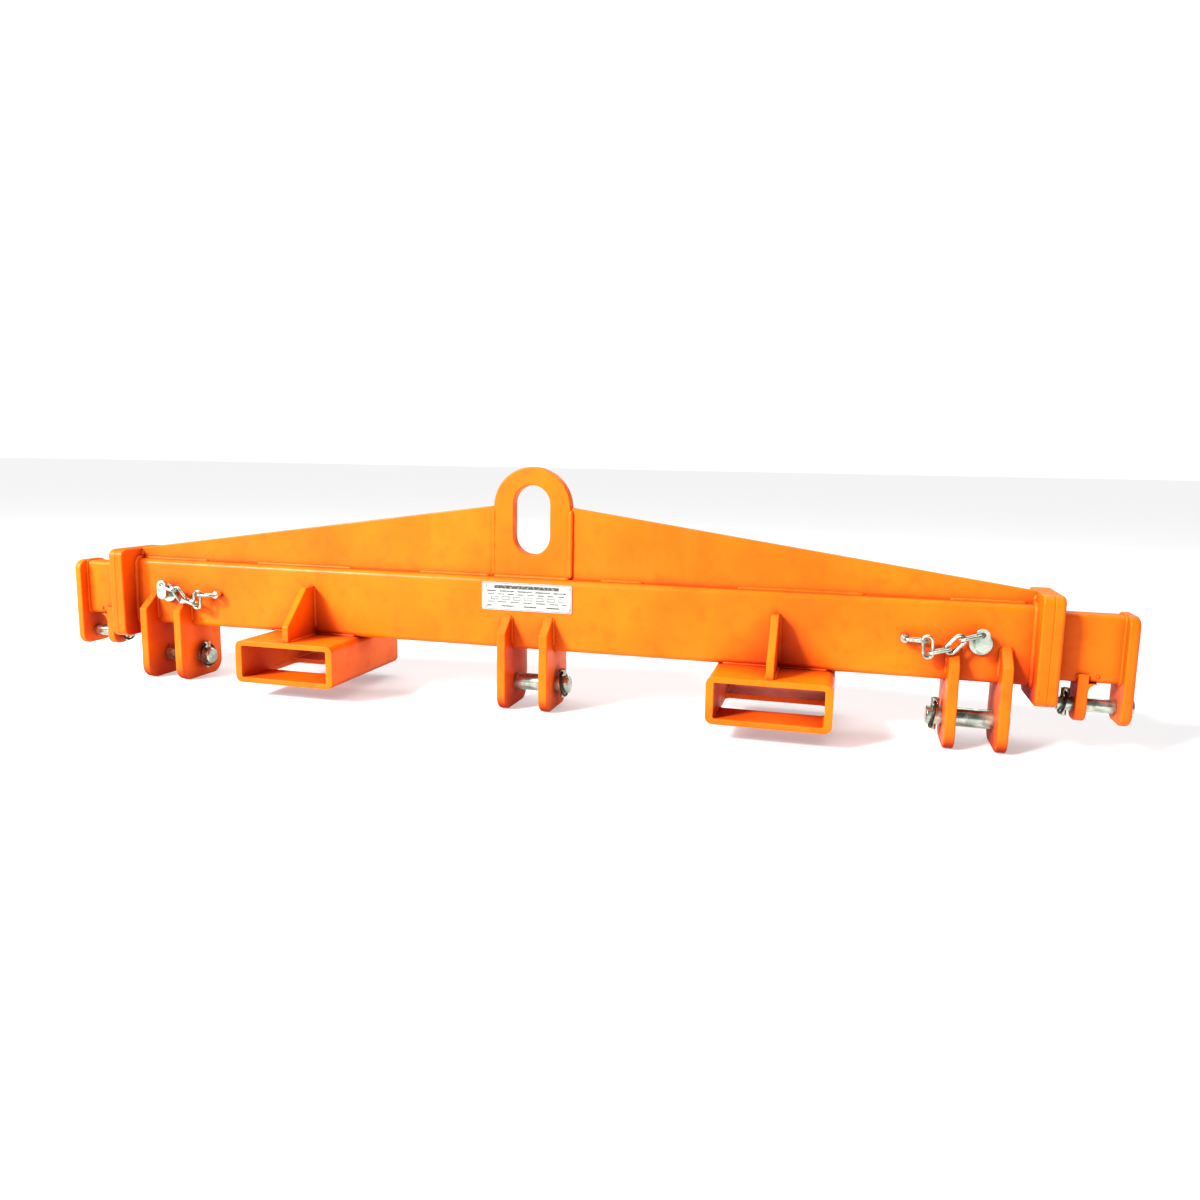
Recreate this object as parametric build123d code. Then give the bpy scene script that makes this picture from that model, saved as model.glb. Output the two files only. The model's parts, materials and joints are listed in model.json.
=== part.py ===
from build123d import *
import os
from math import cos, radians, sin

# Spreader beam with two telescoping arms, three pinned clevises, fork pockets and a lifting eye.
# Millimetres. X runs along the beam, Y across it, Z up. The beam stands on its clevis lugs at Z = 0,
# and the origin is below the middle of the lifting eye.

# Main box section
TUBE_HEIGHT = 125.0
TUBE_WIDTH = 50.0
TUBE_WALL = 5.0
TUBE_CORNER = 10.0
TUBE_HALF_LENGTH = 828.0
LUG_DROP = 105.0                      # from the tube's underside down to the lugs' lower edge
TUBE_BOTTOM = LUG_DROP
TUBE_TOP = TUBE_BOTTOM + TUBE_HEIGHT
TUBE_MIDDLE = TUBE_BOTTOM + TUBE_HEIGHT / 2
TUBE_FACE = TUBE_WIDTH / 2            # distance of the front and back faces from the middle plane

# Tapered web on top of the tube, and the lifting eye between its halves
WEB_THICKNESS = 12.0
WEB_END_HEIGHT = 20.0
WEB_EDGE = 2.0
EYE_WIDTH = 140.0
EYE_THICKNESS = 20.0
EYE_HEIGHT = 192.0
EYE_EDGE = 2.5
EYE_HOLE_WIDTH = 66.0
EYE_HOLE_LENGTH = 120.0
EYE_HOLE_MIDDLE = 101.0               # above the tube
WEB_EYE_HEIGHT = 124.0

# End collars: an inner plate round the tube's end, and an outer plate that guides the arm
COLLAR_THICKNESS = 16.0
COLLAR_WIDTH = 124.0
COLLAR_ABOVE = 20.0
COLLAR_BELOW = 24.0
COLLAR_CORNER = 14.0
COLLAR_EDGE = 3.0
COLLAR_OUTER_EDGE = 6.0
COLLAR_SEAM_EDGE = 1.0                # rims where the two collars meet
COLLAR_INNER_FACE = TUBE_HALF_LENGTH - COLLAR_THICKNESS
COLLAR_OUTER_FACE = TUBE_HALF_LENGTH + COLLAR_THICKNESS
GUIDE_CLEARANCE = 1.0

# Clevises on the main tube
CLEVIS_X = 735.0
CLEVIS_GAP = 60.0
LUG_THICKNESS = 16.0
LUG_OVERHANG = 33.0                   # in front of and behind the tube
LUG_CORNER = 26.0
LUG_EDGE = 2.5
LUG_TOP = TUBE_MIDDLE - 2.0
LUG_SHOULDER = LUG_TOP - 28.0
CLEVIS_PIN_RADIUS = 15.0
CLEVIS_PIN_Z = TUBE_BOTTOM - 63.0

# Fork pockets under the tube, with a window in the floor below the tube, and their gussets
POCKET_X = 425.0
POCKET_WIDTH = 194.0
POCKET_HEIGHT = 76.0
POCKET_SIDE = 12.0                    # thickness of its side walls
POCKET_PLATE = 9.0                    # thickness of its top and floor
POCKET_CORNER = 12.0
POCKET_INNER_CORNER = 3.0
POCKET_LENGTH = 244.0
POCKET_WINDOW = 100.0
WINDOW_CORNER = 10.0
GUSSET_THICKNESS = 12.0
GUSSET_FOOT = 88.0
GUSSET_FRONT = 28.0
GUSSET_FLAT = 26.0
GUSSET_TOP = TUBE_TOP - 34.0
GUSSET_EDGE = 1.5
GUSSET_TOE = 6.0                      # reach under the tube's rounded corner

# Telescoping arms
ARM_HEIGHT = 105.0
ARM_WIDTH = 36.0
ARM_WALL = 5.0
ARM_CORNER = 8.0
ARM_INNER_END = 290.0
ARM_TRAVEL = 400.0
END_PLATE_THICKNESS = 16.0
END_PLATE_OUTER_FACE = 952.0
END_PLATE_WIDTH = 72.0
END_PLATE_ABOVE = 2.0
END_PLATE_EDGE = 7.0
ARM_END = END_PLATE_OUTER_FACE - END_PLATE_THICKNESS
ARM_BOTTOM = TUBE_MIDDLE - ARM_HEIGHT / 2
ARM_TOP = TUBE_MIDDLE + ARM_HEIGHT / 2
ARM_LUG_DROP = 61.0
ARM_LUG_BOTTOM = ARM_BOTTOM - ARM_LUG_DROP
ARM_LUG_INNER_FACE = 876.0
ARM_LUG_WIDTH = 46.0
ARM_LUG_CORNER = 18.0
ARM_PIN_RADIUS = 11.0
ARM_PIN_Z = ARM_BOTTOM - 37.0
ARM_LUG_TOP = ARM_BOTTOM + 14.0
ARM_LUG_NECK = 12.0                   # radius where the inner lug runs into the arm's underside
PAD_LENGTH = 70.0
PAD_WIDTH = 24.0
PAD_THICKNESS = 4.0
PAD_SETBACK = 10.0                    # from the arm's hidden end

# Locking pins through tube and arm
LOCK_X = 735.0
LOCK_RADIUS = 10.0
LOCK_FLANGE_RADIUS = 17.0
LOCK_FLANGE = 6.0
LOCK_TAIL = 14.0                      # beyond the tube's back face
LOCK_TAB_THICKNESS = 6.0
LOCK_TAB_RADIUS = 10.0
LOCK_NECK_RADIUS = 9.0
LOCK_EYE_RADIUS = 4.25
SLOT_CLEARANCE = 0.6

# Chain between the locking pin and its anchor
WIRE_RADIUS = 2.75
LINK_BEND = 7.25                      # radius of the wire's middle line round a link's end
LINK_STRAIGHT = 19.0                  # between the centres of a link's two ends
CHAIN_Y = -(TUBE_FACE + 22.5)
ANCHOR_X = 656.5
ANCHOR_Z = TUBE_TOP - 60.2
CHAIN_ANGLES = (-85.0, 15.0, 50.0, 17.0)
ANCHOR_SWING = -12.0                  # turns the anchor link's far end in to the tube's face
ANCHOR_STUB_RADIUS = 6.5

# Fits, and how far a cut runs past the face it starts from
RUNNING = 0.05
LOOSE = 0.3
END_FLOAT = 0.5
PAST = 1.0

# Clevis pins, lynch pins and their rings
PIN_TAIL = 24.0
PIN_HEAD = 7.0
PIN_HEAD_STEP = 4.5
PIN_CHAMFER = 2.0
PIN_HEAD_EDGE = 2.0
LYNCH_RADIUS = 3.8
LYNCH_SETBACK = 10.5                  # from the lug's face to the lynch pin's middle line
LYNCH_HEAD_RADIUS = 6.5
LYNCH_HEAD_LENGTH = 13.0
LYNCH_TAIL = 9.0
LYNCH_SEAT = 0.5                      # gap between its head and the clevis pin
LYNCH_TIP_EDGE = 2.5
LYNCH_HEAD_EDGE = 1.5
RING_WIRE = 2.0
RING_HOLE = 3.4

# Data plate
PLATE_WIDTH = 165.0
PLATE_HEIGHT = 49.0
PLATE_THICKNESS = 1.5
PLATE_X = -3.0
PLATE_TOP = TUBE_TOP - 8.0
PLATE_CORNER = 3.0
RIVET_RADIUS = 2.6
RIVET_HEIGHT = 1.4
RIVET_EDGE = 1.0
RIVET_INSET = 6.0


def block(low, high):
    size = [b - a for a, b in zip(low, high)]
    middle = [(a + b) / 2 for a, b in zip(low, high)]
    return Pos(*middle) * Box(*size)


def rod_x(radius, x_low, x_high, y, z):
    return Pos((x_low + x_high) / 2, y, z) * Rot(0, 90, 0) * Cylinder(radius, x_high - x_low)


def rod_y(radius, y_low, y_high, x, z):
    return Pos(x, (y_low + y_high) / 2, z) * Rot(90, 0, 0) * Cylinder(radius, y_high - y_low)


def rod_z(radius, z_low, z_high, x, y):
    return Pos(x, y, (z_low + z_high) / 2) * Cylinder(radius, z_high - z_low)


def bar_x(width, height, corner, x_low, x_high, z_middle):
    """Rounded bar along X, centred on the middle plane."""
    section = Pos(0, z_middle) * RectangleRounded(width, height, corner)
    return extrude(Plane.YZ.offset(x_low) * section, amount=x_high - x_low)


def tube_x(width, height, wall, corner, x_low, x_high, z_middle):
    outer = bar_x(width, height, corner, x_low, x_high, z_middle)
    inner = bar_x(width - 2 * wall, height - 2 * wall, corner - wall, x_low, x_high, z_middle)
    return outer - inner


def profile_x(points, x_low, x_high):
    """Plate across the beam, from corner points given as (y, z)."""
    face = make_face(Plane.YZ.offset(x_low) * Polyline(*points, close=True))
    return extrude(face, amount=x_high - x_low, dir=(1, 0, 0))


def lower_corners(plate):
    """The two lowest edges of a plate across the beam."""
    return plate.edges().filter_by(Axis.X).sort_by(Axis.Z)[:2]


def soften(plate, low_radius, high_radius):
    """Round the rims of a plate's two big faces, on the low-X side and on the high-X side."""
    faces = plate.faces().sort_by(Axis.X)
    rims = faces[0].edges()
    plate = fillet(rims, low_radius)
    rims = plate.faces().sort_by(Axis.X)[-1].edges()
    return fillet(rims, high_radius)


def on_side(shape, side):
    """The shape as drawn for the right-hand end, or mirrored for the left-hand end."""
    return shape if side > 0 else mirror(shape, about=Plane.YZ)


def save(shape, name):
    shape.label = name
    export_step(shape, f"parts/{name}.step")


# Main beam -------------------------------------------------------------------------------------

def main_tube():
    tube = tube_x(TUBE_WIDTH, TUBE_HEIGHT, TUBE_WALL, TUBE_CORNER,
                  -TUBE_HALF_LENGTH, TUBE_HALF_LENGTH, TUBE_MIDDLE)
    for x in (-LOCK_X, LOCK_X):
        tube -= rod_y(LOCK_RADIUS + RUNNING, -TUBE_WIDTH, TUBE_WIDTH, x, TUBE_MIDDLE)
    return tube


def web_plate():
    """Tapered web from the lifting eye out to the end collar."""
    outline = Polyline(
        (EYE_WIDTH / 2, TUBE_TOP),
        (COLLAR_INNER_FACE, TUBE_TOP),
        (COLLAR_INNER_FACE, TUBE_TOP + WEB_END_HEIGHT),
        (EYE_WIDTH / 2, TUBE_TOP + WEB_EYE_HEIGHT),
        close=True,
    )
    face = make_face(Plane.XZ.offset(-WEB_THICKNESS / 2) * outline)
    plate = extrude(face, amount=WEB_THICKNESS, dir=(0, -1, 0))
    slope = plate.faces().sort_by(Axis.Z)[-1]
    return fillet(slope.edges().sort_by(SortBy.LENGTH)[-2:], WEB_EDGE)


def lifting_eye():
    radius = EYE_WIDTH / 2
    spring = TUBE_TOP + EYE_HEIGHT - radius
    body = block((-radius, -EYE_THICKNESS / 2, TUBE_TOP), (radius, EYE_THICKNESS / 2, spring))
    body += rod_y(radius, -EYE_THICKNESS / 2, EYE_THICKNESS / 2, 0, spring)
    hole_z = TUBE_TOP + EYE_HOLE_MIDDLE
    slot = Pos(0, hole_z) * Rot(0, 0, 90) * SlotOverall(EYE_HOLE_LENGTH, EYE_HOLE_WIDTH)
    plate = body - extrude(Plane.XZ.offset(-EYE_THICKNESS) * slot, amount=2 * EYE_THICKNESS)
    faces = plate.faces().sort_by(Axis.Y)
    rims = [edge for face in (faces[0], faces[-1]) for edge in face.edges()
            if edge.center().Z > TUBE_TOP + PAST]
    return fillet(rims, EYE_EDGE)


def collar_plate(x_low, low_edge, high_edge):
    height = TUBE_HEIGHT + COLLAR_ABOVE + COLLAR_BELOW
    middle = TUBE_BOTTOM - COLLAR_BELOW + height / 2
    plate = bar_x(COLLAR_WIDTH, height, COLLAR_CORNER, x_low, x_low + COLLAR_THICKNESS, middle)
    return soften(plate, low_edge, high_edge)


def inner_collar():
    plate = collar_plate(COLLAR_INNER_FACE, COLLAR_EDGE, COLLAR_SEAM_EDGE)
    return plate - bar_x(TUBE_WIDTH, TUBE_HEIGHT, TUBE_CORNER,
                         COLLAR_INNER_FACE - PAST, TUBE_HALF_LENGTH + PAST, TUBE_MIDDLE)


def outer_collar():
    plate = collar_plate(TUBE_HALF_LENGTH, COLLAR_SEAM_EDGE, COLLAR_OUTER_EDGE)
    return plate - bar_x(ARM_WIDTH + 2 * GUIDE_CLEARANCE, ARM_HEIGHT + 2 * GUIDE_CLEARANCE,
                         ARM_CORNER + GUIDE_CLEARANCE,
                         TUBE_HALF_LENGTH - PAST, COLLAR_OUTER_FACE + PAST, TUBE_MIDDLE)


def clevis_lug(x_middle):
    """Plate that wraps the tube's lower half, with the clevis pin's hole below it."""
    x_low = x_middle - LUG_THICKNESS / 2
    x_high = x_middle + LUG_THICKNESS / 2
    reach = TUBE_FACE + LUG_OVERHANG
    points = [
        (-TUBE_FACE, LUG_TOP), (TUBE_FACE, LUG_TOP), (reach, LUG_SHOULDER),
        (reach, 0), (-reach, 0), (-reach, LUG_SHOULDER),
    ]
    plate = profile_x(points, x_low, x_high)
    plate = fillet(lower_corners(plate), LUG_CORNER)
    plate = soften(plate, LUG_EDGE, LUG_EDGE)
    plate -= bar_x(TUBE_WIDTH, TUBE_HEIGHT, TUBE_CORNER, x_low - PAST, x_high + PAST, TUBE_MIDDLE)
    return plate - rod_x(CLEVIS_PIN_RADIUS + RUNNING, x_low - PAST, x_high + PAST, 0, CLEVIS_PIN_Z)


def fork_pocket():
    """Rectangular tube across the beam, open at both ends, with the window in its floor."""
    section = RectangleRounded(POCKET_WIDTH, POCKET_HEIGHT, POCKET_CORNER)
    section -= RectangleRounded(POCKET_WIDTH - 2 * POCKET_SIDE, POCKET_HEIGHT - 2 * POCKET_PLATE,
                                POCKET_INNER_CORNER)
    z_middle = TUBE_BOTTOM - POCKET_HEIGHT / 2
    section = Plane.XZ.offset(-POCKET_LENGTH / 2) * (Pos(POCKET_X, z_middle) * section)
    pocket = extrude(section, amount=POCKET_LENGTH)
    window_reach = POCKET_WIDTH / 2 - POCKET_SIDE
    floor = TUBE_BOTTOM - POCKET_HEIGHT
    window = block((POCKET_X - window_reach, -POCKET_WINDOW / 2, floor - PAST),
                   (POCKET_X + window_reach, POCKET_WINDOW / 2, floor + POCKET_PLATE + PAST))
    return pocket - fillet(window.edges().filter_by(Axis.Z), WINDOW_CORNER)


def pocket_gusset(facing):
    """Upright plate between the pocket's top and the tube's face; facing is -1 at the front."""
    foot = TUBE_FACE + GUSSET_FOOT
    points = [
        (TUBE_FACE, TUBE_BOTTOM + TUBE_CORNER), (TUBE_FACE, GUSSET_TOP),
        (TUBE_FACE + GUSSET_FLAT, GUSSET_TOP), (foot, TUBE_BOTTOM + GUSSET_FRONT),
        (foot, TUBE_BOTTOM), (TUBE_FACE - GUSSET_TOE, TUBE_BOTTOM),
    ]
    points = [(facing * y, z) for y, z in points]
    x_low = POCKET_X - GUSSET_THICKNESS / 2
    plate = profile_x(points, x_low, x_low + GUSSET_THICKNESS)
    faces = plate.faces().sort_by(Axis.X)
    rims = [edge for face in (faces[0], faces[-1]) for edge in face.edges()
            if abs(edge.center().Y) > TUBE_FACE + PAST and edge.center().Z > TUBE_BOTTOM + PAST]
    plate = fillet(rims, GUSSET_EDGE)
    return plate - bar_x(TUBE_WIDTH, TUBE_HEIGHT, TUBE_CORNER,
                         x_low - PAST, x_low + GUSSET_THICKNESS + PAST, TUBE_MIDDLE)


# Telescoping arm -------------------------------------------------------------------------------

def arm_tube():
    """Inner box section. A long slot takes the locking pin over the whole travel."""
    tube = tube_x(ARM_WIDTH, ARM_HEIGHT, ARM_WALL, ARM_CORNER, ARM_INNER_END, ARM_END, TUBE_MIDDLE)
    radius = LOCK_RADIUS + SLOT_CLEARANCE
    slot = Pos(LOCK_X - ARM_TRAVEL / 2, TUBE_MIDDLE) * SlotCenterToCenter(ARM_TRAVEL, 2 * radius)
    return tube - extrude(Plane.XZ.offset(-ARM_WIDTH) * slot, amount=2 * ARM_WIDTH)


def arm_end_plate():
    """Plate over the arm's end, carried down as the outer lug of the arm's clevis."""
    top = ARM_TOP + END_PLATE_ABOVE
    height = top - ARM_LUG_BOTTOM
    plate = bar_x(END_PLATE_WIDTH, height, ARM_LUG_CORNER, ARM_END, END_PLATE_OUTER_FACE,
                  ARM_LUG_BOTTOM + height / 2)
    plate = soften(plate, LUG_EDGE, END_PLATE_EDGE)
    return plate - rod_x(ARM_PIN_RADIUS + RUNNING, ARM_END - PAST, END_PLATE_OUTER_FACE + PAST,
                         0, ARM_PIN_Z)


def arm_inner_lug():
    x_high = ARM_LUG_INNER_FACE + LUG_THICKNESS
    half = ARM_LUG_WIDTH / 2
    points = [(-half, ARM_LUG_BOTTOM), (half, ARM_LUG_BOTTOM), (half, ARM_LUG_TOP),
              (-half, ARM_LUG_TOP)]
    plate = profile_x(points, ARM_LUG_INNER_FACE, x_high)
    plate = fillet(lower_corners(plate), ARM_LUG_CORNER)
    plate = soften(plate, LUG_EDGE, LUG_EDGE)
    neck = block((x_high - PAST, -half, ARM_BOTTOM - ARM_LUG_NECK),
                 (x_high + ARM_LUG_NECK, half, ARM_BOTTOM))
    neck -= rod_y(ARM_LUG_NECK, -half - PAST, half + PAST, x_high + ARM_LUG_NECK, ARM_BOTTOM - ARM_LUG_NECK)
    plate += neck
    plate -= bar_x(ARM_WIDTH, ARM_HEIGHT, ARM_CORNER, ARM_LUG_INNER_FACE - PAST, x_high + PAST,
                   TUBE_MIDDLE)
    return plate - rod_x(ARM_PIN_RADIUS + RUNNING, ARM_LUG_INNER_FACE - PAST, x_high + PAST,
                         0, ARM_PIN_Z)


def arm_guide_pads():
    """Wear pads above and below the arm's hidden end, which keep it level in the tube."""
    x_low = ARM_INNER_END + PAD_SETBACK
    pads = []
    for z_low in (ARM_TOP, ARM_BOTTOM - PAD_THICKNESS):
        pads.append(block((x_low, -PAD_WIDTH / 2, z_low),
                          (x_low + PAD_LENGTH, PAD_WIDTH / 2, z_low + PAD_THICKNESS)))
    return Compound(children=pads)


# Chain and locking pin -------------------------------------------------------------------------

def link():
    """Welded chain link lying along X in the XY plane, centred on the origin."""
    half = LINK_STRAIGHT / 2
    path = Wire([
        Line((-half, -LINK_BEND), (half, -LINK_BEND)),
        ThreePointArc((half, -LINK_BEND), (half + LINK_BEND, 0), (half, LINK_BEND)),
        Line((half, LINK_BEND), (-half, LINK_BEND)),
        ThreePointArc((-half, LINK_BEND), (-half - LINK_BEND, 0), (-half, -LINK_BEND)),
    ])
    section = Plane(origin=(0, -LINK_BEND, 0), z_dir=(1, 0, 0)) * Circle(WIRE_RADIUS)
    return sweep(section, path=path)


def chain_points():
    """Pivots of the chain from its anchor to the locking pin's tab, as (x, z)."""
    points = [(ANCHOR_X, ANCHOR_Z)]
    lengths = (LINK_STRAIGHT, LINK_STRAIGHT + 2 * LINK_BEND) * 2
    for length, angle in zip(lengths, CHAIN_ANGLES):
        x, z = points[-1]
        points.append((x + length * cos(radians(angle)), z + length * sin(radians(angle))))
    return points


def pin_chain():
    """Four free links; the first and third hang upright, the others lie edge-on."""
    points = chain_points()
    links = []
    for number, angle in enumerate(CHAIN_ANGLES):
        x = (points[number][0] + points[number + 1][0]) / 2
        z = (points[number][1] + points[number + 1][1]) / 2
        roll = 90 if number % 2 == 0 else 0
        links.append(Pos(x, CHAIN_Y, z) * Rot(0, -angle, 0) * Rot(roll, 0, 0) * link())
    return Compound(children=links)


def chain_anchor():
    """End link of the chain, welded to a stub on the tube's face."""
    half = LINK_STRAIGHT / 2 + LINK_BEND
    anchor = Pos(ANCHOR_X, CHAIN_Y, ANCHOR_Z) * Rot(0, 0, ANCHOR_SWING) * Pos(-half, 0, 0) * link()
    stub_x = ANCHOR_X - 2 * half * cos(radians(ANCHOR_SWING))
    stub_y = CHAIN_Y - 2 * half * sin(radians(ANCHOR_SWING))
    return anchor + rod_y(ANCHOR_STUB_RADIUS, stub_y, -TUBE_FACE, stub_x, ANCHOR_Z)


def locking_pin():
    """Headed pin through tube and arm; the flat tab on its head carries the chain."""
    face = -TUBE_FACE - END_FLOAT
    tip = TUBE_FACE + LOCK_TAIL
    pin = rod_y(LOCK_RADIUS, face - PAST, tip, LOCK_X, TUBE_MIDDLE)
    pin = chamfer(pin.edges().sort_by(Axis.Y)[-1], PIN_CHAMFER)
    pin += rod_y(LOCK_FLANGE_RADIUS, face - LOCK_FLANGE, face, LOCK_X, TUBE_MIDDLE)
    tab_low = CHAIN_Y - LOCK_TAB_THICKNESS / 2
    tab_high = CHAIN_Y + LOCK_TAB_THICKNESS / 2
    pin += rod_y(LOCK_NECK_RADIUS, tab_high - PAST, face - LOCK_FLANGE + PAST, LOCK_X, TUBE_MIDDLE)
    eye_x, eye_z = chain_points()[-1]
    tab = rod_y(LOCK_TAB_RADIUS, tab_low, tab_high, LOCK_X, TUBE_MIDDLE)
    tab += rod_y(LOCK_TAB_RADIUS, tab_low, tab_high, eye_x, eye_z)
    tab += block((LOCK_X - LOCK_TAB_RADIUS, tab_low, TUBE_MIDDLE),
                 (LOCK_X + LOCK_TAB_RADIUS, tab_high, eye_z))
    tab -= rod_y(LOCK_EYE_RADIUS, tab_low - PAST, tab_high + PAST, eye_x, eye_z)
    return pin + tab


# Clevis pins -----------------------------------------------------------------------------------

def clevis_pin(radius, z, head_face, tail_face):
    """Headed pin along X. Its head bears on head_face, and its tail comes out at tail_face."""
    way = 1 if head_face > tail_face else -1
    tail = tail_face - way * PIN_TAIL
    head = head_face + way * END_FLOAT
    pin = rod_x(radius, min(tail, head), max(tail, head), 0, z)
    pin = chamfer(pin.edges().filter_by(GeomType.CIRCLE).sort_by(Axis.X)[0 if way > 0 else -1],
                  PIN_CHAMFER)
    outside = head + way * PIN_HEAD
    cap = rod_x(radius + PIN_HEAD_STEP, min(head, outside), max(head, outside), 0, z)
    cap = fillet(cap.edges().filter_by(GeomType.CIRCLE).sort_by(Axis.X)[-1 if way > 0 else 0],
                 PIN_HEAD_EDGE)
    pin += cap
    x = tail_face - way * LYNCH_SETBACK
    return pin - rod_z(LYNCH_RADIUS + LOOSE, z - radius - PAST, z + radius + PAST, x, 0)


def lynch_pin(radius, z, x):
    """Upright lynch pin through the clevis pin's tail, with a drilled head for its ring."""
    seat = z + radius + LYNCH_SEAT
    shank = rod_z(LYNCH_RADIUS, z - radius - LYNCH_TAIL, seat + PAST, x, 0)
    shank = fillet(shank.edges().sort_by(Axis.Z)[0], LYNCH_TIP_EDGE)
    head = rod_z(LYNCH_HEAD_RADIUS, seat, seat + LYNCH_HEAD_LENGTH, x, 0)
    head = fillet(head.edges().filter_by(GeomType.CIRCLE), LYNCH_HEAD_EDGE)
    hole_z = seat + LYNCH_HEAD_LENGTH / 2
    reach = LYNCH_HEAD_RADIUS + PAST
    return shank + head - rod_y(RING_HOLE, -reach, reach, x, hole_z)


def lynch_ring(radius, z, x, way):
    """Spring ring through the lynch pin's head, closed round the clevis pin's tail."""
    hole_z = z + radius + LYNCH_SEAT + LYNCH_HEAD_LENGTH / 2
    foot_z = z - radius - LYNCH_TAIL / 2
    offset = LYNCH_RADIUS + RING_WIRE + LOOSE
    drop = hole_z - foot_z
    lean = -way * offset
    ring_radius = (drop ** 2 + lean ** 2) ** 0.5 / 2
    along = Vector(lean, 0, -drop).normalized()
    normal = along.cross(Vector(0, 1, 0))
    centre = Vector(x + lean / 2, 0, (hole_z + foot_z) / 2)
    return Plane(origin=centre, z_dir=normal) * Torus(ring_radius, RING_WIRE)


# Trim ------------------------------------------------------------------------------------------

def data_plate():
    low = (PLATE_X - PLATE_WIDTH / 2, -TUBE_FACE - PLATE_THICKNESS, PLATE_TOP - PLATE_HEIGHT)
    high = (PLATE_X + PLATE_WIDTH / 2, -TUBE_FACE, PLATE_TOP)
    plate = block(low, high)
    return fillet(plate.edges().filter_by(Axis.Y), PLATE_CORNER)


def plate_rivets():
    """Domed rivet heads at the data plate's corners."""
    face = -TUBE_FACE - PLATE_THICKNESS
    heads = []
    for x in (PLATE_X - PLATE_WIDTH / 2 + RIVET_INSET, PLATE_X + PLATE_WIDTH / 2 - RIVET_INSET):
        for z in (PLATE_TOP - RIVET_INSET, PLATE_TOP - PLATE_HEIGHT + RIVET_INSET):
            head = rod_y(RIVET_RADIUS, face - RIVET_HEIGHT, face, x, z)
            heads.append(fillet(head.edges().sort_by(Axis.Y)[0], RIVET_EDGE))
    return Compound(children=heads)


# Assembly --------------------------------------------------------------------------------------

os.makedirs("parts", exist_ok=True)

save(main_tube(), "main_beam_tube")
save(lifting_eye(), "lifting_eye_plate")
save(data_plate(), "data_plate")
save(plate_rivets(), "plate_rivets")

PAIRED = {
    "web_plate": web_plate,
    "end_collar_inner": inner_collar,
    "end_collar_outer": outer_collar,
    "fork_pocket": fork_pocket,
    "pocket_gusset_front": lambda: pocket_gusset(-1),
    "pocket_gusset_back": lambda: pocket_gusset(1),
    "arm_tube": arm_tube,
    "arm_end_plate": arm_end_plate,
    "arm_inner_lug": arm_inner_lug,
    "arm_guide_pads": arm_guide_pads,
    "chain_anchor": chain_anchor,
    "pin_chain": pin_chain,
    "locking_pin": locking_pin,
}
for part_name, make in PAIRED.items():
    for side, side_name in ((1, "right"), (-1, "left")):
        save(on_side(make(), side), f"{part_name}_{side_name}")

LUG_OFFSET = (CLEVIS_GAP + LUG_THICKNESS) / 2
CLEVISES = {"left": -CLEVIS_X, "centre": 0.0, "right": CLEVIS_X}
for place, x in CLEVISES.items():
    save(clevis_lug(x - LUG_OFFSET), f"clevis_lug_{place}_a")
    save(clevis_lug(x + LUG_OFFSET), f"clevis_lug_{place}_b")

# Each clevis pin: radius, height, the lug face under its head, and the face its tail comes out of
OUTER_REACH = CLEVIS_GAP / 2 + LUG_THICKNESS
PINS = {
    "left": (CLEVIS_PIN_RADIUS, CLEVIS_PIN_Z, -CLEVIS_X - OUTER_REACH, -CLEVIS_X + OUTER_REACH),
    "centre": (CLEVIS_PIN_RADIUS, CLEVIS_PIN_Z, -OUTER_REACH, OUTER_REACH),
    "right": (CLEVIS_PIN_RADIUS, CLEVIS_PIN_Z, CLEVIS_X + OUTER_REACH, CLEVIS_X - OUTER_REACH),
    "arm_left": (ARM_PIN_RADIUS, ARM_PIN_Z, -END_PLATE_OUTER_FACE, -ARM_LUG_INNER_FACE),
    "arm_right": (ARM_PIN_RADIUS, ARM_PIN_Z, END_PLATE_OUTER_FACE, ARM_LUG_INNER_FACE),
}
for place, (pin_radius, pin_z, head_face, tail_face) in PINS.items():
    way = 1 if head_face > tail_face else -1
    lynch_x = tail_face - way * LYNCH_SETBACK
    save(clevis_pin(pin_radius, pin_z, head_face, tail_face), f"clevis_pin_{place}")
    save(lynch_pin(pin_radius, pin_z, lynch_x), f"lynch_pin_{place}")
    save(lynch_ring(pin_radius, pin_z, lynch_x, way), f"lynch_ring_{place}")
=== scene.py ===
import json
import math

import bmesh
import bpy
from mathutils import Matrix, Vector, noise


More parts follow.
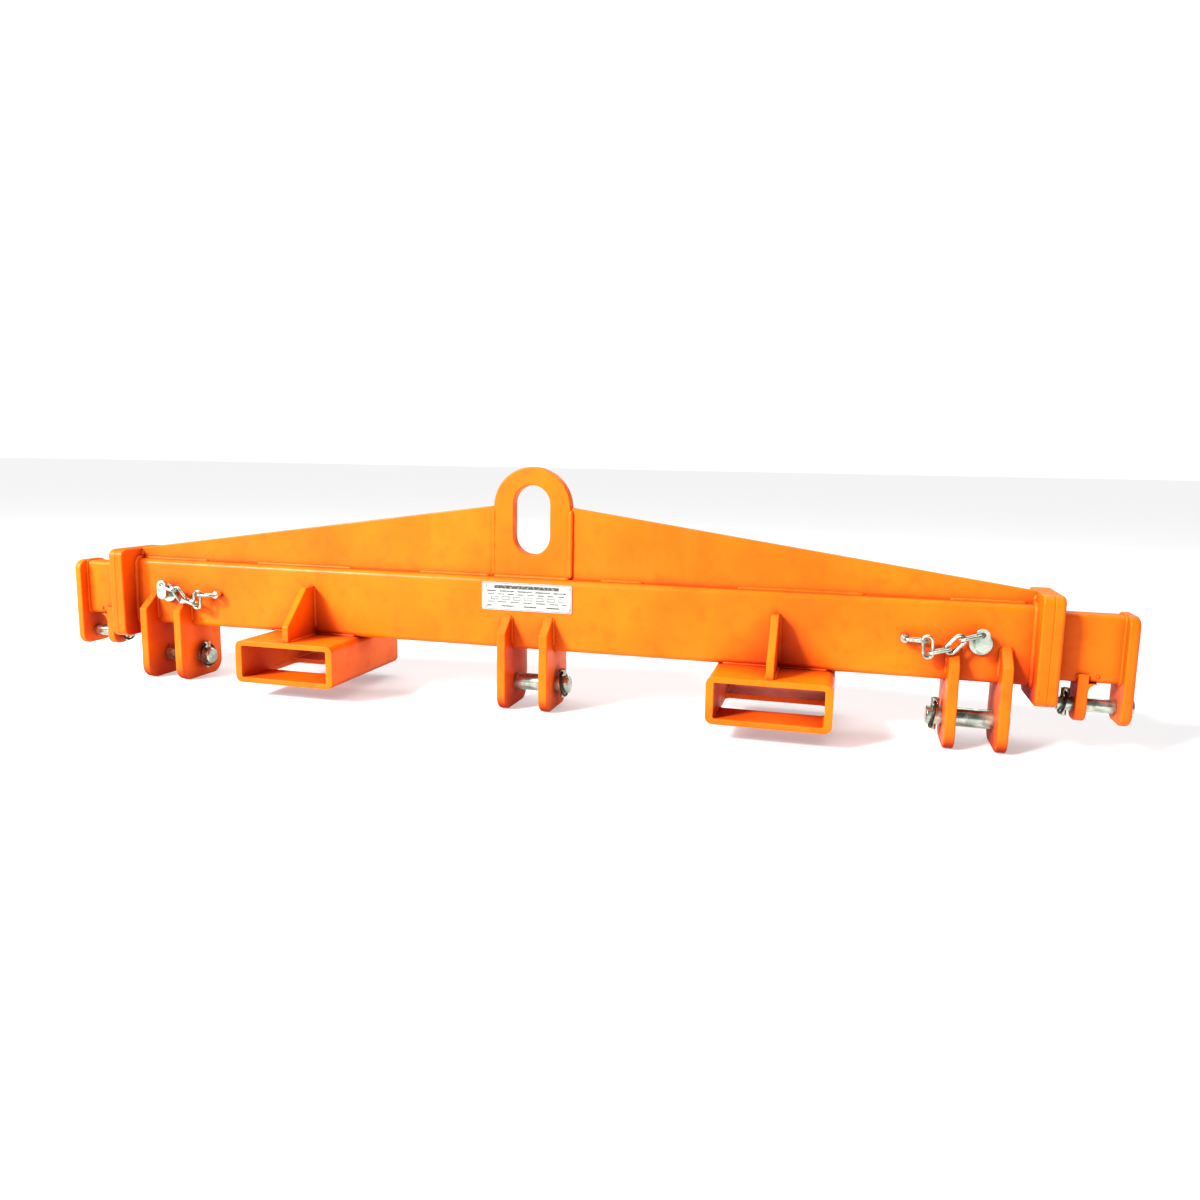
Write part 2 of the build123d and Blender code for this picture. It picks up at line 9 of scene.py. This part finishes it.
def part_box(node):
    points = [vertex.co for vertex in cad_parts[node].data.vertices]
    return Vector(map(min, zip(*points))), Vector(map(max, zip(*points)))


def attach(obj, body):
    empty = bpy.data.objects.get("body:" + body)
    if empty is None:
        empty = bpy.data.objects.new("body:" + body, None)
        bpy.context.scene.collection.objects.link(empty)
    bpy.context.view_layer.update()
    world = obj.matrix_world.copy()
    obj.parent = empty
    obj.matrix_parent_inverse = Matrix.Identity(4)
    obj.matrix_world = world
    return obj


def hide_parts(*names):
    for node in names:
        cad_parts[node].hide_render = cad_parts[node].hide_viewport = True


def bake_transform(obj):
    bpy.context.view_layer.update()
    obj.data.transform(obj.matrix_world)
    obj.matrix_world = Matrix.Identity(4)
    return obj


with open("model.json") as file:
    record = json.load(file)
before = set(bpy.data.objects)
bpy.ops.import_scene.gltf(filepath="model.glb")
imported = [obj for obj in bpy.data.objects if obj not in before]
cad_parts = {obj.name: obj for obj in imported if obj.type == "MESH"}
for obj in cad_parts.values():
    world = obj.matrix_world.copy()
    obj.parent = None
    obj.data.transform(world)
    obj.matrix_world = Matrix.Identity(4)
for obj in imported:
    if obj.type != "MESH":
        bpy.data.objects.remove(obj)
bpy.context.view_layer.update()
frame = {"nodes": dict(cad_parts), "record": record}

# Spreader beam. Metres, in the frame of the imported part: X along the beam, Y across it, Z up.

MM = 0.001
NODES = frame["nodes"]
SIDES = (("left", -1), ("right", 1))
PLACES = ("left", "centre", "right")
SLOT_OF = {part["node"]: part["material_slot"] for part in frame["record"]["subparts"]}

# Where things are, read from the part
TUBE_LOW, TUBE_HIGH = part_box("main_beam_tube")
ARM_LOW, ARM_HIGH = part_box("arm_tube_right")
WEB_LOW, WEB_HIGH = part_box("web_plate_right")
EYE_LOW, EYE_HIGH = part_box("lifting_eye_plate")
COLLAR_LOW, COLLAR_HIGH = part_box("end_collar_inner_right")
POCKET_LOW, POCKET_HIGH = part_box("fork_pocket_right")
GUSSET_LOW, GUSSET_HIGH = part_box("pocket_gusset_front_right")
PLATE_LOW, PLATE_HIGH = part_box("data_plate")

# Camera: where it stands, how it is turned, and its lens
CAMERA_PLACE = (0.5241, -1.5109, 0.4313)
CAMERA_YAW = 14.890
CAMERA_PITCH = -8.535
CAMERA_ROLL = -1.028
CAMERA_LENS = 27.44
CAMERA_SENSOR = 36.0

# Welds
BEAD = 3.6 * MM
STITCH_BEAD = 4.4 * MM
EYE_BEAD = 5.2 * MM
COLLAR_BEAD = 5.6 * MM
ARM_BEAD = 3.2 * MM
BEAD_PITCH = 3.4 * MM
BEAD_STEP = 1.1 * MM
BEAD_SIDES = 12
BEAD_RIPPLE = 0.14
BEAD_WANDER = 0.16
WANDER_SCALE = 70.0
BEAD_END = 1.6                       # length of a bead's tapered end, in radii
BEAD_TIP = 0.12                      # least share of the radius at that end
ACROSS_ANY_RUN = Vector((0.31, 0.47, 0.83))     # a direction that no weld runs along
EYE_WELD_STOP = 3 * MM               # how far short of the plate's top each upright weld ends
COLLAR_WELD_STOP = 5 * MM
LUG_WELD_STOP = 3 * MM
GUSSET_WELD_STOP = 2 * MM
GUSSET_TOE = 4 * MM
POCKET_WELD_INSET = 12 * MM
POCKET_WELD_RISE = 1.5 * MM
TUBE_CORNER = 10 * MM
ARM_CORNER = 8 * MM
# stretches of the web's stitch welds, from the eye outwards, on the left and on the right
STITCHES = {
    -1: ((0.078, 0.215), (0.350, 0.552), (0.660, 0.808)),
    1: ((0.124, 0.199), (0.358, 0.561), (0.688, 0.800)),
}

# Data plate: the printed frame's outer and inner edges, in from the plate's own
PRINT_OUTER = 1.2 * MM
PRINT_INNER = 1.9 * MM

# Stage and light
FLOOR_HALF = 60.0
FLOOR_GLOW = 0.34
BEAM_MIDDLE = (0.0, 0.0, 0.2)
SUN_POWER = 4.6
SUN_SPREAD = 9
SUN_HEADING = (0.60, 0.66, -0.58)
WORLD_FILL = 0.15
WORLD_BACKDROP = 1.05
WHITE = (1.0, 1.0, 1.0)
WARM = (1.0, 0.97, 0.92)
# name, place, what it points at, size, power, colour
AREA_LIGHTS = (
    ("key_light", (-1.9, -2.1, 1.5), (-0.7, 0.0, 0.2), (1.0, 0.8), 95.0, WARM),
    ("front_fill", (-0.6, -3.6, 1.2), BEAM_MIDDLE, (3.0, 1.6), 16.0, WHITE),
    ("top_light", (0.0, 0.4, 3.4), BEAM_MIDDLE, (4.0, 2.4), 95.0, WHITE),
    ("back_light", (0.8, 3.2, 2.4), BEAM_MIDDLE, (3.0, 1.6), 40.0, WHITE),
)


# Node graphs -----------------------------------------------------------------------------------

class Graph:
    """A material's node tree, with short calls for the nodes used here."""

    def __init__(self, name):
        self.material = bpy.data.materials.new(name)
        self.material.use_nodes = True
        self.tree = self.material.node_tree
        self.shader = self.tree.nodes["Principled BSDF"]
        self.place = self.add("ShaderNodeTexCoord").outputs["Object"]

    def add(self, kind, **settings):
        node = self.tree.nodes.new(kind)
        for key, value in settings.items():
            setattr(node, key, value)
        return node

    def feed(self, node, socket, value):
        if isinstance(value, bpy.types.NodeSocket):
            self.tree.links.new(value, node.inputs[socket])
        else:
            node.inputs[socket].default_value = value

    def noise(self, scale, detail=3.0, stretch=(1, 1, 1), distortion=0.0):
        spread = self.add("ShaderNodeMapping")
        self.feed(spread, "Vector", self.place)
        self.feed(spread, "Scale", stretch)
        node = self.add("ShaderNodeTexNoise")
        self.feed(node, "Vector", spread.outputs["Vector"])
        self.feed(node, "Scale", scale)
        self.feed(node, "Detail", detail)
        self.feed(node, "Distortion", distortion)
        return node.outputs["Fac"]

    def math(self, operation, first, second=0.0, clamp=False):
        node = self.add("ShaderNodeMath", operation=operation, use_clamp=clamp)
        self.feed(node, 0, first)
        self.feed(node, 1, second)
        return node.outputs[0]

    def window(self, value, low, high, out_low=0.0, out_high=1.0):
        """value carried from low..high to out_low..out_high, and held at the ends."""
        node = self.add("ShaderNodeMapRange", clamp=True)
        limits = (("From Min", low), ("From Max", high), ("To Min", out_low), ("To Max", out_high))
        for socket, number in limits:
            self.feed(node, socket, number)
        self.feed(node, "Value", value)
        return node.outputs["Result"]

    def mix(self, share, first, second):
        node = self.add("ShaderNodeMix", data_type="RGBA")
        self.feed(node, "Factor", share)
        for index, colour in ((6, first), (7, second)):
            if isinstance(colour, bpy.types.NodeSocket):
                self.tree.links.new(colour, node.inputs[index])
            else:
                node.inputs[index].default_value = (*colour, 1.0)
        return node.outputs[2]

    def rounded(self, radius):
        """(normal rounded over edges, how near an edge the point is)."""
        bevel = self.add("ShaderNodeBevel", samples=6)
        self.feed(bevel, "Radius", radius)
        flat = self.add("ShaderNodeNewGeometry").outputs["Normal"]
        turn = self.add("ShaderNodeVectorMath", operation="DOT_PRODUCT")
        self.feed(turn, 0, bevel.outputs["Normal"])
        self.feed(turn, 1, flat)
        return bevel.outputs["Normal"], self.window(turn.outputs["Value"], 0.999, 0.86)

    def open_share(self, distance):
        """1 in the open, falling towards 0 in a corner."""
        node = self.add("ShaderNodeAmbientOcclusion", samples=8)
        self.feed(node, "Distance", distance)
        return node.outputs["AO"]

    def bump(self, height, depth, normal=None):
        node = self.add("ShaderNodeBump")
        self.feed(node, "Strength", 1.0)
        self.feed(node, "Distance", depth)
        self.feed(node, "Height", height)
        if normal is not None:
            self.feed(node, "Normal", normal)
        return node.outputs["Normal"]

    def set(self, **values):
        """Sockets of the Principled shader; an underscore stands for a space."""
        for name, value in values.items():
            socket = name.replace("_", " ")
            self.feed(self.shader, socket, value)


# Materials -------------------------------------------------------------------------------------

def orange_paint():
    """Thick enamel: uneven tone, a painted highlight along the rounded edges, painted shade that turns
    corners deep red, orange peel, a few chips.
    """
    g = Graph("orange_paint")
    normal, edge = g.rounded(1.6 * MM)
    tone = g.noise(5.5, 4.0)
    cloud = g.noise(38.0, 5.0)
    streak = g.noise(30.0, 4.0, stretch=(1.0, 1.0, 0.16))
    colour = g.mix(g.window(tone, 0.36, 0.64), (0.86, 0.118, 0.0008), (0.97, 0.168, 0.0016))
    colour = g.mix(g.window(cloud, 0.52, 0.78, 0.0, 0.40), colour, (0.74, 0.070, 0.0006))
    colour = g.mix(g.window(streak, 0.58, 0.76, 0.0, 0.22), colour, (1.0, 0.215, 0.003))
    # painted shade: corners, recesses and the pockets' insides are darkened to deep red by how enclosed
    # they are
    corner = g.window(g.open_share(70 * MM), 0.90, 0.22, 0.0, 0.94)
    colour = g.mix(corner, colour, (0.30, 0.0045, 0.0002))
    # painted highlight: rounded edges lightened towards pale orange; the same edge mask also places the
    # real chips below
    colour = g.mix(g.math("MULTIPLY", edge, 0.50), colour, (1.0, 0.27, 0.006))
    speck = g.window(g.noise(210.0, 5.0), 0.640, 0.675)
    patch = g.window(g.noise(16.0, 3.0), 0.50, 0.60)
    chip = g.math("MULTIPLY", g.math("MULTIPLY", speck, patch), edge, clamp=True)
    colour = g.mix(g.math("MULTIPLY", chip, 0.85), colour, (0.13, 0.085, 0.060))
    peel = g.math("MULTIPLY", g.noise(430.0, 2.0), 0.30)
    sag = g.math("MULTIPLY", g.noise(46.0, 3.0), 1.4)
    height = g.math("SUBTRACT", g.math("ADD", peel, sag), g.math("MULTIPLY", chip, 0.55))
    rough = g.math("ADD", g.window(cloud, 0.35, 0.70, 0.30, 0.46), g.math("MULTIPLY", chip, 0.30))
    rough = g.math("ADD", rough, g.math("MULTIPLY", corner, 0.45), clamp=True)
    g.set(Base_Color=colour, Roughness=rough, Normal=g.bump(height, 0.30 * MM, normal), Coat_Weight=0.03,
          Coat_Roughness=0.22, Specular_IOR_Level=0.14)
    return g.material


def zinc_steel():
    """Bright zinc plate with the faint green and straw tints of its passivation, and rubbed edges."""
    g = Graph("zinc_steel")
    normal, edge = g.rounded(0.7 * MM)
    tint = g.noise(70.0, 3.0, distortion=0.6)
    colour = g.mix(g.window(tint, 0.38, 0.62), (0.28, 0.37, 0.31), (0.62, 0.67, 0.57))
    # painted shade: crevices and corners within 7 mm are darkened towards near black by how enclosed they
    # are; the same mask also roughens them
    painted_crevice_shade = g.window(g.open_share(7 * MM), 0.85, 0.20, 0.0, 0.60)
    colour = g.mix(painted_crevice_shade, colour, (0.055, 0.060, 0.052))
    colour = g.mix(g.math("MULTIPLY", edge, 0.55), colour, (0.80, 0.86, 0.76))
    fine = g.noise(900.0, 4.0, stretch=(1.0, 1.0, 0.25))
    rough = g.math("ADD", g.window(tint, 0.30, 0.70, 0.16, 0.30), g.math("MULTIPLY", painted_crevice_shade, 0.30))
    g.set(Base_Color=colour, Roughness=rough, Metallic=0.95, Normal=g.bump(fine, 0.05 * MM, normal))
    return g.material


def spring_steel():
    """Oil-blackened spring wire, worn brown where it rubs."""
    g = Graph("spring_steel")
    tone = g.noise(160.0, 4.0)
    colour = g.mix(g.window(tone, 0.45, 0.72), (0.022, 0.018, 0.014), (0.10, 0.066, 0.040))
    g.set(Base_Color=colour, Roughness=g.window(tone, 0.3, 0.7, 0.30, 0.50), Metallic=0.85,
          Normal=g.bump(g.noise(1100.0, 2.0), 0.04 * MM))
    return g.material


def bare_rivet():
    """Aluminium rivet heads, a little dull."""
    g = Graph("rivet")
    tone = g.noise(420.0, 3.0)
    colour = g.mix(tone, (0.46, 0.47, 0.46), (0.78, 0.78, 0.76))
    g.set(Base_Color=colour, Roughness=g.window(tone, 0.3, 0.7, 0.28, 0.44), Metallic=0.9,
          Normal=g.bump(tone, 0.05 * MM))
    return g.material


def guide_pad():
    """Moulded nylon, scuffed along the arm's travel."""
    g = Graph("guide_pad")
    scuff = g.noise(160.0, 4.0, stretch=(0.06, 1.0, 1.0))
    colour = g.mix(g.window(scuff, 0.42, 0.66), (0.72, 0.70, 0.62), (0.46, 0.42, 0.34))
    g.set(Base_Color=colour, Roughness=g.window(scuff, 0.3, 0.7, 0.42, 0.62),
          Subsurface_Weight=0.08, Normal=g.bump(scuff, 0.12 * MM))
    return g.material


def data_plate():
    """Satin sheet printed with a heading bar, broken rows and a row of boxes: no lettering."""
    g = Graph("data_plate")
    split = g.add("ShaderNodeSeparateXYZ")
    g.feed(split, "Vector", g.place)
    width = PLATE_HIGH.x - PLATE_LOW.x
    height = PLATE_HIGH.z - PLATE_LOW.z
    across = g.window(split.outputs["X"], PLATE_LOW.x, PLATE_HIGH.x)
    up = g.window(split.outputs["Z"], PLATE_LOW.z, PLATE_HIGH.z)

    def band(value, middle, half):
        return g.math("LESS_THAN", g.math("ABSOLUTE", g.math("SUBTRACT", value, middle)), half)

    def inside(inset):
        """1 within a rectangle set in from the plate's edges."""
        tall = band(up, 0.50, 0.5 - inset / height)
        return g.math("MULTIPLY", tall, band(across, 0.50, 0.5 - inset / width))

    def dashes(count, share, phase):
        wave = g.math("FRACT", g.math("ADD", g.math("MULTIPLY", across, count), phase))
        return g.math("LESS_THAN", wave, share)

    ink = g.math("MULTIPLY", band(up, 0.84, 0.060), band(across, 0.50, 0.36))
    # each row's height on the plate, half thickness, number of dashes, and their share of it
    rows = (
        (0.69, 0.022, 5.0, 0.80), (0.58, 0.018, 9.0, 0.62),
        (0.30, 0.016, 7.0, 0.70), (0.16, 0.022, 4.0, 0.55),
    )
    for number, (middle, half, count, share) in enumerate(rows):
        row = g.math("MULTIPLY", band(up, middle, half), band(across, 0.50, 0.44))
        ink = g.math("MAXIMUM", ink, g.math("MULTIPLY", row, dashes(count, share, 0.37 * number)))
    box = g.math("MULTIPLY", band(up, 0.44, 0.062), dashes(8.0, 0.66, 0.16))
    hollow = g.math("MULTIPLY", band(up, 0.44, 0.040), dashes(8.0, 0.58, 0.12))
    boxes = g.math("MULTIPLY", g.math("SUBTRACT", box, hollow, clamp=True), band(across, 0.50, 0.42))
    ink = g.math("MAXIMUM", ink, boxes)
    line = g.math("SUBTRACT", inside(PRINT_OUTER), inside(PRINT_INNER), clamp=True)
    ink = g.math("MAXIMUM", ink, line)
    tone = g.noise(34.0, 4.0)
    sheet = g.mix(g.window(tone, 0.35, 0.65), (0.40, 0.43, 0.40), (0.50, 0.53, 0.49))
    worn = g.math("MULTIPLY", ink, g.window(g.noise(260.0, 4.0), 0.34, 0.52, 0.45, 0.95))
    colour = g.mix(worn, sheet, (0.018, 0.018, 0.022))
    g.set(Base_Color=colour, Roughness=g.window(tone, 0.3, 0.7, 0.34, 0.48), Metallic=0.25,
          Normal=g.bump(g.noise(520.0, 3.0), 0.03 * MM))
    return g.material


def stage_paper():
    """Pale matt floor that glows a little."""
    g = Graph("stage_paper")
    tone = g.noise(3.0, 2.0)
    g.set(Base_Color=g.mix(tone, (0.60, 0.60, 0.60), (0.63, 0.63, 0.63)), Roughness=0.9,
          Emission_Color=(1.0, 1.0, 1.0, 1.0), Emission_Strength=FLOOR_GLOW)
    return g.material


MATERIALS = {
    "orange_paint": orange_paint(),
    "zinc_steel": zinc_steel(),
    "spring_steel": spring_steel(),
    "rivet": bare_rivet(),
    "guide_pad": guide_pad(),
    "data_plate": data_plate(),
}


def dress(obj, slot_name):
    """Gives an object the material of one of the record's slots."""
    obj.data.materials.clear()
    obj.data.materials.append(MATERIALS[slot_name])


for node_name, node in NODES.items():
    dress(node, SLOT_OF[node_name])


# Welds -----------------------------------------------------------------------------------------

def along(points, step):
    """Points at even steps along a polyline, with the distance to each."""
    found = []
    run = 0.0
    for first, second in zip(points, points[1:]):
        length = (second - first).length
        count = max(1, round(length / step))
        for number in range(count):
            found.append((first.lerp(second, number / count), run + length * number / count))
        run += length
    found.append((points[-1], run))
    return found, run


def add_bead(mesh, points, radius):
    """A rippled weld bead along a polyline, closed at its tapered ends."""
    samples, length = along([Vector(p) for p in points], BEAD_STEP)
    closed = (Vector(points[0]) - Vector(points[-1])).length < BEAD_STEP
    rings = []
    for number, (middle, run) in enumerate(samples):
        before = samples[max(0, number - 1)][0]
        after = samples[min(len(samples) - 1, number + 1)][0]
        ahead = (after - before).normalized()
        side = ahead.cross(ACROSS_ANY_RUN).normalized()
        lift = ahead.cross(side)
        scallop = abs(math.sin(math.pi * run / BEAD_PITCH))
        wander = noise.noise(middle * WANDER_SCALE) * BEAD_WANDER
        end = min(run, length - run) / (BEAD_END * radius)
        taper = 1.0 if closed else math.sqrt(min(1.0, max(0.0, 1 - (1 - min(1.0, end)) ** 2)))
        ripple = 1 - BEAD_RIPPLE + BEAD_RIPPLE * scallop + wander
        size = radius * ripple * max(taper, BEAD_TIP)
        ring = []
        for k in range(BEAD_SIDES):
            turn = 2 * math.pi * k / BEAD_SIDES
            ring.append(mesh.verts.new(middle + size * (math.cos(turn) * side + math.sin(turn) * lift)))
        rings.append(ring)
    for low, high in zip(rings, rings[1:]):
        for k in range(BEAD_SIDES):
            after = (k + 1) % BEAD_SIDES
            mesh.faces.new((low[k], low[after], high[after], high[k]))
    mesh.faces.new(tuple(reversed(rings[0])))
    mesh.faces.new(tuple(rings[-1]))


def weld_group(name, runs, body, radius=BEAD):
    """One piece that holds several weld runs and moves with one body."""
    mesh = bmesh.new()
    for points in runs:
        add_bead(mesh, points, radius)
    bmesh.ops.recalc_face_normals(mesh, faces=mesh.faces)
    for face in mesh.faces:
        face.smooth = True
    data = bpy.data.meshes.new(name)
    mesh.to_mesh(data)
    mesh.free()
    obj = bpy.data.objects.new(name, data)
    bpy.context.scene.collection.objects.link(obj)
    dress(obj, "orange_paint")
    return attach(obj, body)


def section_loop(low, high, corner, x, steps=5):
    """Closed path round a rounded rectangular section across the beam."""
    centres = (
        (high.y - corner, high.z - corner, 0), (low.y + corner, high.z - corner, 90),
        (low.y + corner, low.z + corner, 180), (high.y - corner, low.z + corner, 270),
    )
    path = []
    for y, z, start in centres:
        for number in range(steps + 1):
            turn = math.radians(start + 90 * number / steps)
            path.append((x, y + corner * math.cos(turn), z + corner * math.sin(turn)))
    return path + [path[0]]


def web_welds():
    """Stitches along the web's foot, and the full welds at the lifting eye's edges and foot."""
    foot = TUBE_HIGH.z
    stitches = []
    for way, stretches in STITCHES.items():
        for near, far in stretches:
            for y in (WEB_LOW.y, WEB_HIGH.y):
                stitches.append([(way * near, y, foot), (way * far, y, foot)])
    weld_group("web_stitch_welds", stitches, "beam", STITCH_BEAD)
    edges = []
    for x in (EYE_LOW.x, EYE_HIGH.x):
        for y in (WEB_LOW.y, WEB_HIGH.y):
            edges.append([(x, y, foot), (x, y, WEB_HIGH.z - EYE_WELD_STOP)])
    for y in (EYE_LOW.y, EYE_HIGH.y):
        edges.append([(EYE_LOW.x, y, foot), (EYE_HIGH.x, y, foot)])
    weld_group("lifting_eye_welds", edges, "beam", EYE_BEAD)


def collar_welds():
    """The weld round the tube behind each collar, and the one up each side of the web's end."""
    for side, way in SIDES:
        x = way * COLLAR_LOW.x
        runs = [section_loop(TUBE_LOW, TUBE_HIGH, TUBE_CORNER, x)]
        for y in (WEB_LOW.y, WEB_HIGH.y):
            runs.append([(x, y, TUBE_HIGH.z), (x, y, COLLAR_HIGH.z - COLLAR_WELD_STOP)])
        weld_group(f"collar_welds_{side}", runs, "beam", COLLAR_BEAD)


def lug_welds():
    """Fillets where each clevis lug meets the tube's front, back and underside."""
    near, far = TUBE_LOW.y + TUBE_CORNER, TUBE_HIGH.y - TUBE_CORNER
    for place in PLACES:
        runs = []
        for plate in "ab":
            low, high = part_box(f"clevis_lug_{place}_{plate}")
            for x in (low.x, high.x):
                for y in (TUBE_LOW.y, TUBE_HIGH.y):
                    runs.append([(x, y, TUBE_LOW.z + TUBE_CORNER), (x, y, high.z - LUG_WELD_STOP)])
                runs.append([(x, near, TUBE_LOW.z), (x, far, TUBE_LOW.z)])
        weld_group(f"lug_welds_{place}", runs, "beam")


def pocket_welds():
    """The pocket along the tube's underside, and its gussets."""
    x_low, x_high = POCKET_LOW.x + POCKET_WELD_INSET, POCKET_HIGH.x - POCKET_WELD_INSET
    for side, way in SIDES:
        runs = []
        for y in (TUBE_LOW.y + TUBE_CORNER / 2, TUBE_HIGH.y - TUBE_CORNER / 2):
            z = POCKET_HIGH.z + POCKET_WELD_RISE
            runs.append([(way * x_low, y, z), (way * x_high, y, z)])
        for x in (way * GUSSET_LOW.x, way * GUSSET_HIGH.x):
            for facing in (-1, 1):
                foot = facing * abs(GUSSET_LOW.y)
                face = facing * TUBE_HIGH.y
                runs.append([(x, foot - facing * GUSSET_TOE, POCKET_HIGH.z), (x, face, POCKET_HIGH.z)])
                top = GUSSET_HIGH.z - GUSSET_WELD_STOP
                runs.append([(x, face, TUBE_LOW.z + TUBE_CORNER), (x, face, top)])
        weld_group(f"pocket_welds_{side}", runs, "beam")


def arm_welds():
    """The arm tube's end plate and its inner lug."""
    for side, way in SIDES:
        lug_low, lug_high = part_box(f"arm_inner_lug_{side}")
        plate_low, plate_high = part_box(f"arm_end_plate_{side}")
        inner_face = plate_low.x if way > 0 else plate_high.x
        runs = [section_loop(ARM_LOW, ARM_HIGH, ARM_CORNER, inner_face)]
        for x in (lug_low.x, lug_high.x):
            runs.append([(x, ARM_LOW.y + ARM_CORNER, ARM_LOW.z), (x, ARM_HIGH.y - ARM_CORNER, ARM_LOW.z)])
            for y in (ARM_LOW.y, ARM_HIGH.y):
                runs.append([(x, y, ARM_LOW.z + ARM_CORNER), (x, y, lug_high.z)])
        weld_group(f"arm_welds_{side}", runs, f"arm_{side}", ARM_BEAD)


web_welds()
collar_welds()
lug_welds()
pocket_welds()
arm_welds()


# Chains ----------------------------------------------------------------------------------------

def pin_chain(side):
    """The chain's free links as one piece that stretches from its anchor to the locking pin's tab."""
    node = NODES[f"pin_chain_{side}"]
    chain = bpy.data.objects.new(f"locking_chain_{side}", node.data.copy())
    bpy.context.scene.collection.objects.link(chain)
    dress(chain, "zinc_steel")
    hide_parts(f"pin_chain_{side}")
    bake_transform(chain)


for side_name, side_way in SIDES:
    pin_chain(side_name)


# Stage, light and camera -----------------------------------------------------------------------

def stage_floor():
    """One wide pale floor."""
    data = bpy.data.meshes.new("stage_floor")
    corners = [
        (-FLOOR_HALF, -FLOOR_HALF, 0), (FLOOR_HALF, -FLOOR_HALF, 0),
        (FLOOR_HALF, FLOOR_HALF, 0), (-FLOOR_HALF, FLOOR_HALF, 0),
    ]
    data.from_pydata(corners, [], [(0, 1, 2, 3)])
    obj = bpy.data.objects.new("stage_floor", data)
    bpy.context.scene.collection.objects.link(obj)
    obj.data.materials.append(stage_paper())


def area_light(name, place, aim, size, power, colour):
    """A rectangular light that points at aim."""
    data = bpy.data.lights.new(name, "AREA")
    data.shape = "RECTANGLE"
    data.size, data.size_y = size
    data.energy = power
    data.color = colour
    obj = bpy.data.objects.new(name, data)
    bpy.context.scene.collection.objects.link(obj)
    obj.location = place
    obj.rotation_euler = (Vector(aim) - Vector(place)).to_track_quat("-Z", "Y").to_euler()


def soft_sun():
    """A sun wide enough to blur its shadows."""
    data = bpy.data.lights.new("soft_sun", "SUN")
    data.energy = SUN_POWER
    data.angle = math.radians(SUN_SPREAD)
    obj = bpy.data.objects.new("soft_sun", data)
    bpy.context.scene.collection.objects.link(obj)
    obj.rotation_euler = Vector(SUN_HEADING).to_track_quat("-Z", "Y").to_euler()


def studio_world():
    """White surroundings, brighter to look at than the light they give."""
    world = bpy.data.worlds.new("studio")
    world.use_nodes = True
    tree = world.node_tree
    fill = tree.nodes["Background"]
    fill.inputs["Color"].default_value = (*WHITE, 1.0)
    fill.inputs["Strength"].default_value = WORLD_FILL
    backdrop = tree.nodes.new("ShaderNodeBackground")
    backdrop.inputs["Color"].default_value = (*WHITE, 1.0)
    backdrop.inputs["Strength"].default_value = WORLD_BACKDROP
    seen = tree.nodes.new("ShaderNodeLightPath")
    choose = tree.nodes.new("ShaderNodeMixShader")
    tree.links.new(seen.outputs["Is Camera Ray"], choose.inputs[0])
    tree.links.new(fill.outputs[0], choose.inputs[1])
    tree.links.new(backdrop.outputs[0], choose.inputs[2])
    tree.links.new(choose.outputs[0], tree.nodes["World Output"].inputs["Surface"])
    bpy.context.scene.world = world
    bpy.context.scene.view_settings.view_transform = "Standard"


def lights():
    """The sun, the area lights and the world."""
    soft_sun()
    for settings in AREA_LIGHTS:
        area_light(*settings)
    studio_world()


def camera():
    """The camera, at the place and angle given at the top."""
    data = bpy.data.cameras.new("camera")
    data.sensor_width = CAMERA_SENSOR
    data.lens = CAMERA_LENS
    obj = bpy.data.objects.new("camera", data)
    bpy.context.scene.collection.objects.link(obj)
    turn = (Matrix.Rotation(math.radians(CAMERA_YAW), 4, "Z")
            @ Matrix.Rotation(math.radians(CAMERA_PITCH), 4, "X")
            @ Matrix.Rotation(math.radians(CAMERA_ROLL), 4, "Y")
            @ Matrix.Rotation(math.radians(90), 4, "X"))
    obj.matrix_world = Matrix.Translation(CAMERA_PLACE) @ turn
    bpy.context.scene.camera = obj


stage_floor()
lights()
camera()
